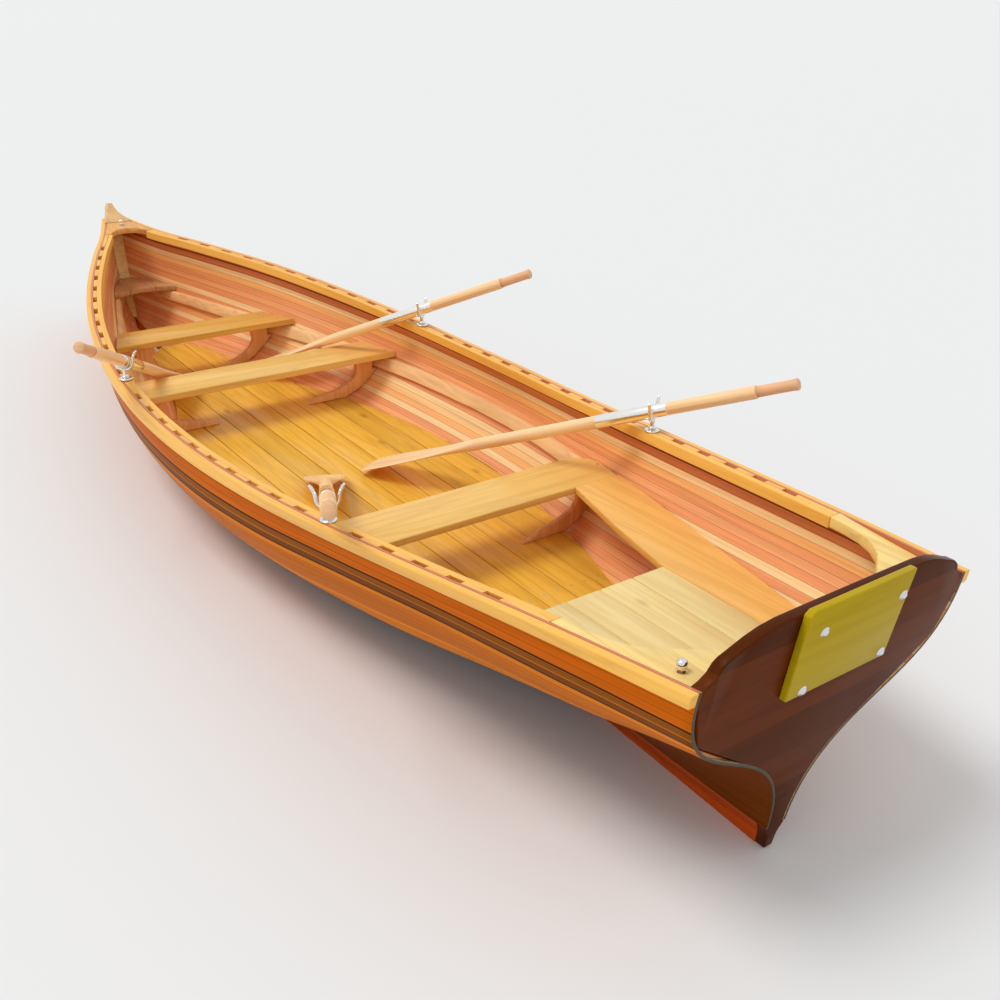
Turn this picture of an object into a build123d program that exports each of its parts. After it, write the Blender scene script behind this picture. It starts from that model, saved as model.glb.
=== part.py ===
from build123d import *
import os
import math

os.makedirs("parts", exist_ok=True)

# Rowing boat, millimetres, +X to the bow, +Y to port, +Z up.
# The origin is amidships on the centreline at the load waterline.

# Driving dimensions
PLANK = 8.0              # planking thickness
OUTWALE_W = 20.0
SPACER_W = 15.0
INWALE_W = 20.0
GUNWALE_H = 35.0
TRANSOM_T = 30.0
STERN_X = -2302.0        # aft face of the transom at its top corner
LEAN_AFT = -1900.0       # the stations lean with the transom aft of here
LEAN_FORE = 1950.0       # and follow the stem forward of here
BOW_X = 2225.0           # top of the stem's rabbet
TRANSOM_TOP_Z = 447.0
TRANSOM_RAKE = 0.1647    # forward per unit down
KEEL_DEPTH = 35.0
KEEL_HALF = 18.0
STEM_HALF = 14.0
RISER_T = 20.0
RISER_H = 45.0
SEAT_T = 25.0
FLOOR_T = 12.0
FLOOR_Z = 5.0            # floor top amidships
FLOOR_SLOPE = 0.0262
HULL_GAP = 0.6           # boards stand off the planking by this much
TRANSOM_GAP = 0.3        # and off the transom by this much
SEAM = 0.5               # between boards that butt
AFT_OAR_LEN = 1620.0
FORE_OAR_LEN = 1426.0
LOCK_RISE = 60.0         # oar axis above the socket's plate
AFT_LOCK = (-1100.0, 574.0)
FORE_LOCK = (315.0, 614.0)

# Hull section table. Each row is a cubic arc from the rabbet (y0, z0)
# to the sheer (y3, z3), led by the two points between.
SECTIONS = [
    # x, y0, z0, y1, z1, y2, z2, y3, z3
    (-2302, 34, -150, 36, 230, 457, 106, 426, 447),
    (-1900, 30, -153, 136, 80, 478, 87, 484, 423),
    (-1500, 26, -153, 230, -50, 504, 82, 543, 392),
    (-1100, 24, -150, 321, -147, 564, 62, 596, 362),
    (-700, 24, -146, 385, -155, 652, 33, 635, 340),
    (-300, 24, -140, 412, -136, 706, 20, 656, 333),
    (100, 24, -131, 400, -85, 698, 23, 650, 339),
    (500, 24, -119, 365, -27, 634, 36, 610, 361),
    (900, 22, -101, 305, 40, 502, 85, 530, 394),
    (1280, 20, -75, 252, 75, 353, 141, 411, 434),
    (1680, 18, -30, 200, 60, 205, 190, 250, 472),
    (1950, 16, 20, 115, 55, 115, 225, 125, 499),
    (2225, 14, 50, 14, 200, 14, 350, 14, 545),
]

# Height of the top of the seat riser along the boat
RISER_LINE = [(-2302, 150), (-700, 151), (100, 160), (500, 172), (900, 190), (1280, 206),
              (1800, 222), (2225, 232)]

# Stem rabbet line, (z, x)
STEM_LINE = [(50, 2010), (80, 2046), (140, 2095), (200, 2130), (350, 2185), (545, 2232)]

# Depth of the stem ahead of the rabbet, (z, depth)
STEM_DEPTH = [(50, 35), (200, 42), (450, 50), (500, 48), (545, 30)]

# Stations along the boat that every long piece is built on
STATIONS = [STERN_X, STERN_X + TRANSOM_T, -2150, -2025, LEAN_AFT, -1700, -1500, -1300, -1100, -900,
            -700, -500, -300, -100, 100, 300, 500, 700, 900, 1090, 1280, 1480, 1680, 1815,
            LEAN_FORE, 2060, 2165, BOW_X]
TRANSOM_FORE = STATIONS[1]


def table_value(rows, x, col):
    # straight interpolation in a short table
    if x <= rows[0][0]:
        return rows[0][col]
    for a, b in zip(rows, rows[1:]):
        if x <= b[0]:
            f = (x - a[0]) / (b[0] - a[0])
            return a[col] + f * (b[col] - a[col])
    return rows[-1][col]


def smooth_value(rows, x, col):
    # cubic interpolation through a short table
    n = len(rows)
    i = 0
    while i < n - 2 and x > rows[i + 1][0]:
        i += 1
    h = rows[i + 1][0] - rows[i][0]

    def slope(k):
        lo, hi = max(k - 1, 0), min(k + 1, n - 1)
        return (rows[hi][col] - rows[lo][col]) / (rows[hi][0] - rows[lo][0])

    t = (x - rows[i][0]) / h
    a, b = rows[i][col], rows[i + 1][col]
    ma, mb = slope(i) * h, slope(i + 1) * h
    ends = (2 * t**3 - 3 * t**2 + 1) * a + (3 * t**2 - 2 * t**3) * b
    return ends + (t**3 - 2 * t**2 + t) * ma + (t**3 - t**2) * mb


def curve(u, t):
    c = [smooth_value(SECTIONS, u, k) for k in range(1, 9)]
    w = ((1 - t)**3, 3 * t * (1 - t)**2, 3 * t * t * (1 - t), t**3)
    y = sum(w[k] * c[2 * k] for k in range(4))
    z = sum(w[k] * c[2 * k + 1] for k in range(4))
    return y, z


def shift_x(u, z):
    # stations lean with the transom aft and follow the stem forward
    if u < LEAN_AFT:
        w = min(1.0, (LEAN_AFT - u) / (LEAN_AFT - TRANSOM_FORE))
        return u + w * (TRANSOM_TOP_Z - z) * TRANSOM_RAKE
    if u > LEAN_FORE:
        w = (u - LEAN_FORE) / (BOW_X - LEAN_FORE)
        return u + w * (table_value(STEM_LINE, z, 1) - BOW_X)
    return u


def section(u):
    # outer and inner points from the sheer down to the rabbet
    n = 240
    pts = [curve(u, 1 - k / n) for k in range(n + 1)]
    zs = pts[0][1]
    riser = table_value(RISER_LINE, u, 1)
    lift = []
    for k in range(n + 1):
        a, b = pts[max(k - 1, 0)], pts[min(k + 1, n)]
        dy, dz = a[0] - b[0], a[1] - b[1]
        lift.append(pts[k][1] + PLANK * dy / math.hypot(dy, dz))
    tops = [p[1] for p in pts]
    low = zs - GUNWALE_H
    levels = [(zs, tops), (low, tops), ((low + riser) / 2, tops), (riser, lift), (riser - RISER_H, lift)]
    marks = []
    for level, heights in levels:
        k = 0
        while k < n and heights[k] > level:
            k += 1
        if k == 0:
            marks.append(0.0)
        else:
            above, below = heights[k - 1], heights[k]
            marks.append(k - 1 + (above - level) / (above - below))
    girth = [0.0]
    for a, b in zip(pts, pts[1:]):
        girth.append(girth[-1] + math.hypot(b[0] - a[0], b[1] - a[1]))
    whole = int(marks[-1])
    start = girth[whole] + (marks[-1] - whole) * (girth[min(whole + 1, n)] - girth[whole])
    for j in range(1, 7):
        g = start + (girth[-1] - start) * j / 6
        k = 0
        while k < n - 1 and girth[k + 1] < g - 1e-9:
            k += 1
        marks.append(min(k + (g - girth[k]) / (girth[k + 1] - girth[k]), n))
    outer, inner = [], []
    for m in marks:
        t = 1 - m / n
        y, z = curve(u, t)
        a, b = curve(u, max(t - 0.004, 0.0)), curve(u, min(t + 0.004, 1.0))
        dy, dz = b[0] - a[0], b[1] - a[1]
        d = math.hypot(dy, dz)
        yi, zi = max(y - PLANK * dz / d, 4.0), z + PLANK * dy / d
        if m == 0.0:
            yi, zi = y - PLANK, z
        outer.append((shift_x(u, z), y, z))
        inner.append((shift_x(u, zi), yi, zi))
    return outer, inner


TABLE = {u: section(u) for u in STATIONS}
# the middle point of each band lies in line at the stem, so its end is flat
for face in TABLE[BOW_X]:
    for k in (1, 3, 5, 7, 9):
        a, b, c = face[k - 1], face[k], face[k + 1]
        f = (a[2] - b[2]) / (a[2] - c[2])
        face[k] = (a[0] + f * (c[0] - a[0]), b[1], b[2])


def mix(p, q, f):
    return tuple(a + f * (b - a) for a, b in zip(p, q))


def short_way(a0, a1, b0, b1):
    # the shorter diagonal of a four-sided facet splits it in two flat ones
    return (a0, b1) if math.dist(a0, b1) <= math.dist(a1, b0) else (a1, b0)


def span_at(u):
    u = min(max(u, STATIONS[0]), STATIONS[-1])
    for a, b in zip(STATIONS, STATIONS[1:]):
        if u <= b:
            return a, b, (u - a) / (b - a)


def points(u):
    # outer and inner corner points at any place between stations
    a, b, f = span_at(u)
    return [[mix(p, q, f) for p, q in zip(TABLE[a][side], TABLE[b][side])] for side in (0, 1)]


def inner_line(u):
    # the inside of the planking at a place, with the facets' own folds
    a, b, f = span_at(u)
    aft, fore = TABLE[a][1], TABLE[b][1]
    line = [mix(aft[0], fore[0], f)]
    for k in range(len(aft) - 1):
        if k and 0 < f < 1:
            line.append(mix(*short_way(aft[k], aft[k + 1], fore[k], fore[k + 1]), f))
        line.append(mix(aft[k + 1], fore[k + 1], f))
    return line


def inside(u, z):
    # the point on the inside of the planking at a height, as (x, y)
    line = inner_line(u)
    for a, b in zip(line, line[1:]):
        if b[2] <= z <= a[2]:
            f = (z - b[2]) / (a[2] - b[2])
            return b[0] + f * (a[0] - b[0]), b[1] + f * (a[1] - b[1])
    end = line[0] if z > line[0][2] else line[-1]
    return end[0], end[1]


def inner_y(x, z):
    return inside(x, z)[1]


def edge_places(u0, u1, z):
    # ends, stations and folds that a board's edge meets at a height
    places = {u0, u1}
    for a, b in zip(STATIONS, STATIONS[1:]):
        aft, fore = TABLE[a][1], TABLE[b][1]
        lines = [(p, q) for p, q in zip(aft, fore)]
        lines += [short_way(aft[k], aft[k + 1], fore[k], fore[k + 1]) for k in range(1, len(aft) - 1)]
        places.update([a, b])
        for p, q in lines:
            if (p[2] - z) * (q[2] - z) < 0:
                places.add(a + (z - p[2]) / (q[2] - p[2]) * (b - a))
    return sorted(u for u in places if min(u0, u1) <= u <= max(u0, u1))


def between(a, b):
    return [a] + [u for u in STATIONS if a < u < b] + [b]


def off(p, dy, dz, u):
    # a point moved across and up, kept in its station's plane
    return (p[0] + shift_x(u, p[2] + dz) - shift_x(u, p[2]), p[1] + dy, p[2] + dz)


def flip(p, side):
    return (p[0], p[1] * side, p[2])


def flat_face(pts):
    return Face(Wire.make_polygon([Vector(*p) for p in pts], close=True))


def ruled(rows):
    # ruled solid through closed point loops
    return Solid.make_loft([Wire.make_polygon([Vector(*p) for p in r], close=True) for r in rows], True)


def skin(rows, ruled_edges=()):
    # solid of flat facets through closed point loops, with some ruled faces
    faces = [flat_face(rows[0]), flat_face(rows[-1])]
    n = len(rows[0])
    for aft, fore in zip(rows, rows[1:]):
        for k in range(n):
            a0, a1, b0, b1 = aft[k], aft[(k + 1) % n], fore[k], fore[(k + 1) % n]
            if k in ruled_edges:
                faces.append(Face.make_surface_from_curves(Edge.make_line(a0, a1), Edge.make_line(b0, b1)))
            elif short_way(a0, a1, b0, b1)[0] == a0:
                faces += [flat_face((a0, a1, b1)), flat_face((a0, b1, b0))]
            else:
                faces += [flat_face((a0, a1, b0)), flat_face((a1, b1, b0))]
    return Solid(Shell(faces))


def floor_z(x):
    return FLOOR_Z + FLOOR_SLOPE * x


def plate(pts, z0, z1):
    # flat board from a plan outline
    return Solid.extrude(flat_face([(x, y, z0) for x, y in pts]), Vector(0, 0, z1 - z0))


def fitted(u0, u1, inner_pts, z0, z1, side):
    # board whose outer edge follows the inside of the planking
    rows = []
    places = edge_places(u0, u1, (z0 + z1) / 2)
    if u1 < u0:
        places.reverse()
    for z in (z0, z1):
        by_transom = transom_x(z) + TRANSOM_GAP
        outline = [(x, y - HULL_GAP) for x, y in (inside(u, z) for u in places)]
        outline += [(by_transom if x is None else x, y) for x, y in inner_pts]
        rows.append([(x, y * side, z) for x, y in outline])
    return skin(rows)


def transom_x(z):
    return shift_x(TRANSOM_FORE, z)


def save(name, solids):
    solids = list(solids) if isinstance(solids, (list, tuple)) else [solids]
    shape = solids[0] if len(solids) == 1 else Compound(children=solids)
    shape.label = name
    export_step(shape, os.path.join("parts", name + ".step"))


# Oarlock places: name, x, y, rail height, side
def rail_z(x):
    return max(points(x + d)[0][0][2] for d in (-24, 0, 24)) + 0.2


LOCKS = []
for end, (lock_x, lock_y) in (("aft", AFT_LOCK), ("fore", FORE_LOCK)):
    for side_name, side in (("port", 1), ("starboard", -1)):
        LOCKS.append((end + "_" + side_name, lock_x, lock_y * side, rail_z(lock_x), side))

SOCKET_R = 9.5
PIN_R = 6.2
BORE_R = 6.3
HOLES = [Pos(x, y, z - 22.5) * Cylinder(SOCKET_R, 65) for _, x, y, z, _ in LOCKS]


def drill(solid):
    # the sockets' holes, where they pass through a solid
    for hole in HOLES:
        a, b = solid.bounding_box(), hole.bounding_box()
        clear_x = a.min.X > b.max.X or a.max.X < b.min.X
        clear_y = a.min.Y > b.max.Y or a.max.Y < b.min.Y
        if not (clear_x or clear_y):
            solid = solid - hole
    return solid


# Planking in five bands a side, each two facets wide
BAND_NAMES = ["sheer_strake", "riser_strake", "bilge_strake", "bottom_strake", "garboard"]
for i, band_name in enumerate(BAND_NAMES):
    for side_name, side in (("port", 1), ("starboard", -1)):
        rows = []
        for u in STATIONS:
            outer, inner = TABLE[u]
            loop = outer[2 * i:2 * i + 3] + inner[2 * i:2 * i + 3][::-1]
            rows.append([flip(p, side) for p in loop])
        if i == 0:
            save(band_name + "_" + side_name, drill(skin(rows, (0, 4))))
        else:
            save(band_name + "_" + side_name, skin(rows))

# Outwales, inwales and the spacer blocks between
HOOK_AFT = 1958.0        # aft corners of the breasthook
HOOK_GAP = 4.0
INWALE_AFT = -1905.0
INWALE_FORE = HOOK_AFT - HOOK_GAP
WALE_FORE = 2165.0
BLOCK_PITCH = 125.0
SLOT_LEN = 53.0
LAST_SLOT = -1755.0      # aft end of the aftmost slot
PAD_HALF = 75.0          # solid length each way of an oarlock
INWALE_JOINT = FORE_LOCK[0] + 45.0   # each inwale is two lengths, butted on this solid length
outwales, inwales, blocks = [], [], []
for side in (1, -1):
    rows = []
    for u in between(STERN_X, WALE_FORE):
        a, b = points(u)[0][:2]
        low_edge = [off(b, OUTWALE_W - 3, 0, u), off(b, OUTWALE_W, 4, u)]
        top_edge = [off(a, OUTWALE_W, -3, u), off(a, OUTWALE_W - 3, 0, u)]
        rows.append([flip(p, side) for p in [a, b] + low_edge + top_edge])
    outwales.append(drill(skin(rows, (0,))))
    w0, w1 = SPACER_W, SPACER_W + INWALE_W
    for u0, u1 in ((INWALE_AFT, INWALE_JOINT - SEAM / 2), (INWALE_JOINT + SEAM / 2, INWALE_FORE)):
        rows = []
        for u in between(u0, u1):
            a, b = points(u)[1][:2]
            loop = (off(a, -w0, 0, u), off(b, -w0, 0, u), off(b, -w1, 0, u), off(a, -w1, 0, u))
            rows.append([flip(p, side) for p in loop])
        inwales.append(drill(ruled(rows)))

slots = []
slot_aft = LAST_SLOT
while slot_aft + SLOT_LEN < INWALE_FORE - SLOT_LEN:
    if all(abs(slot_aft + SLOT_LEN / 2 - x) > PAD_HALF for x in (AFT_LOCK[0], FORE_LOCK[0])):
        slots.append(slot_aft)
    slot_aft += BLOCK_PITCH
block_ends = [INWALE_AFT] + [x for s in slots for x in (s, s + SLOT_LEN)] + [INWALE_FORE]
for side in (1, -1):
    for u0, u1 in zip(block_ends[::2], block_ends[1::2]):
        rows = []
        for u in between(u0, u1):
            a, b = points(u)[1][:2]
            rows.append([flip(p, side) for p in (a, b, off(b, -SPACER_W, 0, u), off(a, -SPACER_W, 0, u))])
        blocks.append(drill(ruled(rows)))
save("outwales", outwales)
save("inwales", inwales)
save("gunwale_blocks", blocks)

# Keel, from the transom to the foot of the stem
rows = []
for u in between(TRANSOM_FORE, BOW_X):
    outer, inner = points(u)
    o, i = outer[-1], inner[-1]
    half = KEEL_HALF if o[1] > KEEL_HALF else o[1] - 2
    low = off(o, half - o[1], -KEEL_DEPTH, u)
    cap = off(i, max(i[1] - 3, 2) - i[1], 12, u)
    if u > LEAN_FORE:
        low, cap = (o[0], half, o[2] - KEEL_DEPTH), (i[0], cap[1], i[2] + 12)
    if u == BOW_X:
        i, cap = (o[0], i[1], i[2]), (o[0], cap[1], cap[2])
    rows.append([low, o, i, cap] + [flip(p, -1) for p in (cap, i, o, low)])
save("keel", skin(rows))

# Skeg under the keel aft, (x, depth)
SKEG_LINE = [(-2191, 42), (-1900, 26), (-1500, 15), (-1300, 3)]
rows = []
for u in [u for u in STATIONS if TRANSOM_FORE <= u <= SKEG_LINE[-1][0]]:
    z0 = points(u)[0][-1][2] - KEEL_DEPTH
    z1 = z0 - table_value(SKEG_LINE, u, 1)
    x0, x1 = shift_x(u, z0), shift_x(u, z1)
    rows.append([(x0, KEEL_HALF, z0), (x0, -KEEL_HALF, z0), (x1, 4 - KEEL_HALF, z1), (x1, KEEL_HALF - 4, z1)])
save("skeg", skin(rows))

# Stem, swung up along the rabbet from the foot to the sheer
line = [(p[0], p[2]) for p in reversed(TABLE[BOW_X][0])]
rows = []
for k, (x, z) in enumerate(line):
    a, b = line[max(k - 1, 0)], line[min(k + 1, len(line) - 1)]
    run = math.dist(a, b)
    nx, nz = (b[1] - a[1]) / run, (a[0] - b[0]) / run
    if k == 0:
        nx, nz = 0.0, -1.0
    if k == len(line) - 1:
        nx, nz = 1.0, 0.0
    d = table_value(STEM_DEPTH, z, 1)
    fx, fz, half = x + nx * d, z + nz * d, STEM_HALF - 3
    rows.append([(x, STEM_HALF, z), (x, -STEM_HALF, z), (fx, -half, fz), (fx, half, fz)])
save("stem", skin(rows))

# Stem head, a carved block over the joint of the gunwales
SHEER_LINE = [(u, TABLE[u][0][0][2]) for u in STATIONS]
HEAD_LINE = [
    # x, base half width, top half width, top z
    (2100, 68, 66, 525),
    (2138, 56, 42, 544),
    (2166, 45, 26, 560),
    (2186, 38, 16, 580),
    (2198, 33, 11, 598),
    (2226, 20, 10, 594),
    (2252, 12, 9, 574),
]
rows = []
for x, base, top, z1 in HEAD_LINE:
    z0 = table_value(SHEER_LINE, x, 1) + 0.4
    rows.append([(x, base, z0), (x, -base, z0), (x, -top, z1), (x, top, z1)])
save("stem_head", skin(rows))

# Inner stem between the planks
rows = []
for a, b in zip(TABLE[WALE_FORE][1][1:-1], TABLE[BOW_X][1][1:-1]):
    rows.append([a, b, flip(b, -1), flip(a, -1)])
save("inner_stem", skin(rows))

# Transom, a raked board with a crowned top, let in between the planks
CROWN = [(410, 450), (400, 455), (388, 465), (378, 484), (360, 499), (336, 508), (300, 523),
         (262, 534), (220, 539), (120, 540), (0, 540)]
HEEL = (14.0, -227.0)
rows = []
for u in (STERN_X, TRANSOM_FORE):
    outer, inner = TABLE[u]
    foot = outer[-1]
    half = CROWN[::-1] + [(p[1], p[2]) for p in inner]
    half += [(foot[1], foot[2]), (KEEL_HALF, foot[2] - KEEL_DEPTH), HEEL]
    loop = half + [(-y, z) for y, z in half[:0:-1]]
    rows.append([(shift_x(u, z), y, z) for y, z in loop])
corner = len(CROWN)
save("transom", skin(rows, (corner, len(rows[0]) - corner - 1)))

# Motor pad on the transom
PAD = [(168, 541), (156, 553), (-168, 553), (-162, 318), (162, 318)]
PAD_T = 20.0
rows = []
for back in (0.0, PAD_T):
    rows.append([(shift_x(STERN_X, z) - back, y, z) for y, z in PAD])
save("motor_pad", skin(rows))

# Breasthook between the planks, its top flush with the rail
HOOK_T = 24.0
HOOK_LEN = 190.0
HOOK_HOLLOW = 52.0       # how far the aft edge curves in
rows = []
for u in between(HOOK_AFT, min(HOOK_AFT + HOOK_LEN, BOW_X - HOOK_GAP)):
    z1 = points(u)[1][0][2]
    loop = []
    for z in (z1, z1 - HOOK_T):
        x, y = inside(u, z)
        loop.append((x, y - HULL_GAP, z))
    rows.append(loop + [flip(p, -1) for p in reversed(loop)])
hollow = [(HOOK_AFT - 30, 96), (HOOK_AFT, 90), (HOOK_AFT + 0.8 * HOOK_HOLLOW, 50)]
hollow.append((HOOK_AFT + HOOK_HOLLOW, 14))
cut = plate(hollow + [(x, -y) for x, y in reversed(hollow)], rows[0][-1][2] - 60, rows[-1][0][2] + 60)
save("breasthook", skin(rows) - cut)

# Stern quarter knees
KNEE_T = 32.0
KNEE_Z = 394.0
KNEE_TIP = INWALE_AFT - 2.0
knee_edge = [(None, 205), (-2222, 218), (-2165, 289), (-2105, 370), (-2060, 404), (-2010, 424),
             (-1960, 434), (KNEE_TIP, 438)]
quarter_knees = []
for side in (1, -1):
    quarter_knees.append(fitted(KNEE_TIP, TRANSOM_FORE + SEAM, knee_edge, KNEE_Z, KNEE_Z + KNEE_T, side))
save("quarter_knees", quarter_knees)

# Seat risers
RISER_AFT, RISER_FORE = -2150.0, LEAN_FORE
risers = []
for side in (1, -1):
    rows = []
    for u in between(RISER_AFT, RISER_FORE):
        a, b = points(u)[1][3:5]
        rows.append([flip(p, side) for p in (a, b, off(b, -RISER_T, 0, u), off(a, -RISER_T, 0, u))])
    risers.append(skin(rows))
save("seat_risers", risers)


# Thwarts
def riser_top(x):
    return points(x)[1][3][2]


def cross_board(x0, x1):
    # board from side to side, lying on the risers
    z0 = riser_top(x1)
    ends = [(x, min(inner_y(x, z) for z in (z0, z0 + SEAT_T)) - 2 * HULL_GAP) for x in (x0, x1)]
    return plate(ends + [(x, -y) for x, y in reversed(ends)], z0, z0 + SEAT_T)


FORE_THWART = (1062.0, 1250.0)
MID_THWART = (472.0, 672.0)
AFT_THWART = (-984.0, -780.0)
SEAT_Z = 151.5
save("fore_thwart", cross_board(*FORE_THWART))
save("mid_thwart", cross_board(*MID_THWART))
ROUND_FROM = -865.0      # the forward corners are cut to a curve from here
ROUND_CUT = [(-828, 10), (-800, 40), (-786, 80)]
places = edge_places(AFT_THWART[0], ROUND_FROM, SEAT_Z)
aft_end = [(x, inner_y(x, SEAT_Z) - 2 * HULL_GAP) for x in places]
aft_end += [(x, aft_end[-1][1] - y) for x, y in ROUND_CUT] + [(AFT_THWART[1], 450)]
aft_board = aft_end + [(x, -y) for x, y in reversed(aft_end)]
save("aft_thwart", plate(aft_board, SEAT_Z, SEAT_Z + SEAT_T))

# Side benches, butted to the aft thwart
BENCH_EDGE = [(-1870, 232), (-1520, 236), (-1400, 262), (-1270, 291), (AFT_THWART[0] - SEAM, 368)]
benches = []
for side in (1, -1):
    inner_edge = [(None, 175)] + BENCH_EDGE
    bench_ends = (AFT_THWART[0] - SEAM, TRANSOM_FORE + SEAM)
    benches.append(fitted(*bench_ends, inner_edge, SEAT_Z, SEAT_Z + SEAT_T, side))
save("side_benches", benches)

# Stern sheet boards between the benches
SHEET_X = -1535.0
SHEET_BOARDS = 4
SHEET_SEAM = 0.75
sheet_aft = transom_x(SEAT_Z) + SEAM
sheet_edge = [(sheet_aft, 175)] + BENCH_EDGE
sheet_rows = [(x, table_value(sheet_edge, x, 1) - 1) for x in (sheet_aft, BENCH_EDGE[0][0], SHEET_X)]
sheet = []
for k in range(SHEET_BOARDS):
    f0, f1 = -1 + 2 * k / SHEET_BOARDS, -1 + 2 * (k + 1) / SHEET_BOARDS
    board = [(x, w * f0 + SHEET_SEAM) for x, w in sheet_rows]
    board += [(x, w * f1 - SHEET_SEAM) for x, w in reversed(sheet_rows)]
    sheet.append(plate(board, SEAT_Z, SEAT_Z + SEAT_T))
save("stern_sheet", sheet)

# Bow seat of three boards that fan out from the stem
BOW_SEAT_AFT = 1818.0
BOW_SEAT_FORE = 2150.0
FAN_AFT, FAN_FORE = 62.0, 14.0
bow_z = riser_top(RISER_FORE) + 0.5
fore_x = inside(BOW_SEAT_FORE, bow_z)[0]
fan_x = BOW_SEAT_AFT + 34
side_edge = [(fore_x, FAN_FORE + SEAM), (fan_x, FAN_AFT + SEAM)]
fan = [(fore_x, FAN_FORE), (fan_x, FAN_AFT), (BOW_SEAT_AFT + 42, 0), (fan_x, -FAN_AFT), (fore_x, -FAN_FORE)]
seat_boards = [plate(fan, bow_z, bow_z + SEAT_T)]
for side in (1, -1):
    seat_boards.append(fitted(BOW_SEAT_AFT, BOW_SEAT_FORE, side_edge, bow_z, bow_z + SEAT_T, side))
save("bow_seat", seat_boards)

# Floorboards, cut to the planking forward and to a curve aft
BOARD = 106.0
BOARD_GAP = 4.0
BOARDS_A_SIDE = 5        # beside the middle board
CUT_STEP = 130           # spacing of the points on a board's cut edge
FLOOR_AFT, FLOOR_FORE = -1420.0, 1540.0
FLOOR_CUT = [(-1420, 200), (-1274, 311), (-1134, 384), (-993, 427), (-800, 480), (-600, 540)]


def floor_half(x):
    return min(table_value(FLOOR_CUT, x, 1), inner_y(x, floor_z(x) - FLOOR_T) - 3)


def floor_reach(y):
    wide = [x for x in range(int(FLOOR_AFT), int(FLOOR_FORE) + 1, 10) if floor_half(x) >= y]
    return wide[0], wide[-1]


floor_width = max(floor_half(x) for x in range(-700, 300, 50))
boards = []
for k in range(-BOARDS_A_SIDE, BOARDS_A_SIDE + 1):
    y0 = (abs(k) - 0.5) * BOARD + BOARD_GAP / 2
    y1 = min((abs(k) + 0.5) * BOARD - BOARD_GAP / 2, floor_width - 4)
    if k == 0:
        aft, fore = floor_reach(y1)
        outline = [(aft, -y1), (fore, -y1), (fore, y1), (aft, y1)]
    else:
        side = 1 if k > 0 else -1
        (aft, fore), (aft_out, fore_out) = floor_reach(y0), floor_reach(y1)
        cuts = range(aft_out - 2 * CUT_STEP, fore_out + 2 * CUT_STEP + 1, CUT_STEP)
        fore_edge = [(x, min(floor_half(x), y1)) for x in reversed(cuts) if fore_out < x < fore]
        aft_edge = [(x, min(floor_half(x), y1)) for x in reversed(cuts) if aft < x < aft_out]
        outline = [(aft, y0), (fore, y0)] + fore_edge + [(fore_out, y1), (aft_out, y1)] + aft_edge
        outline = [(x, y * side) for x, y in outline]
    boards.append(skin([[(x, y, floor_z(x) - drop) for x, y in outline] for drop in (FLOOR_T, 0)]))
save("floorboards", boards)

# Bearers across the bottom, under the floorboards
BEARERS = [-1200, -800, -400, 0, 400, 800, 1180]
BEARER_HALF = 11.0
bearers = []
for middle in BEARERS:
    rows = []
    ends = (middle - BEARER_HALF, middle + BEARER_HALF)
    deep = min(len([p for p in inner_line(x) if p[2] < floor_z(x) - FLOOR_T - 4]) for x in ends)
    for x in ends:
        z1 = floor_z(x) - FLOOR_T
        low = inner_line(x)[-deep:]
        half = [(x, inner_y(x, z1) - 4, z1)] + [(x, p[1], p[2] + 0.4) for p in low[:-1]]
        half.append((x, 30, low[-1][2] + 14.5))
        rows.append(half + [flip(p, -1) for p in reversed(half)])
    bearers.append(skin(rows))
save("floor_bearers", bearers)

# Thwart knees, curved brackets from the floor to the seats, (y, z) of the inner edge
FORE_KNEE = [(84, None), (108, 52), (150, 66), (190, 84), (218, 106), (232, 132), (230, 160), (216, None)]
MID_KNEE = [(193, None), (213, 27), (244, 40), (284, 51), (340, 62), (381, 76), (409, 93), (422, 113),
            (423, None)]
AFT_KNEE = [(212, None), (256, -8), (297, 10), (364, 25), (422, 47), (446, 77), (449, 113), (440, None)]
KNEES = [
    (1150.0, riser_top(FORE_THWART[1]), FORE_KNEE),
    (545.0, riser_top(MID_THWART[1]), MID_KNEE),
    (-900.0, SEAT_Z, AFT_KNEE),
]
KNEE_HALF = 12.0
knees = []
for middle, under, inner_edge in KNEES:
    x0, x1 = middle - KNEE_HALF, middle + KNEE_HALF
    foot = floor_z(x1)
    ends = [foot, under]
    edge = [(y, z if z is not None else ends[j > 0]) for j, (y, z) in enumerate(inner_edge)]
    hull = []
    for f in (0, 0.25, 0.5, 0.75, 1):
        z = under - RISER_H - 10 + f * (foot - under + RISER_H + 10)
        hull.append((min(inner_y(x, z) for x in (x0, middle, x1)) - 3, z))
    if hull[-1][1] <= foot + 1:
        hull[-1] = (min(hull[-1][0], floor_half(middle) - 3), foot)
    top_y = hull[0][0] - RISER_T - 3
    outline = edge + [(top_y, under), (top_y, hull[0][1])] + hull
    for side in (1, -1):
        knees.append(Solid.extrude(flat_face([(x0, y * side, z) for y, z in outline]), Vector(x1 - x0, 0, 0)))
save("thwart_knees", knees)

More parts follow.
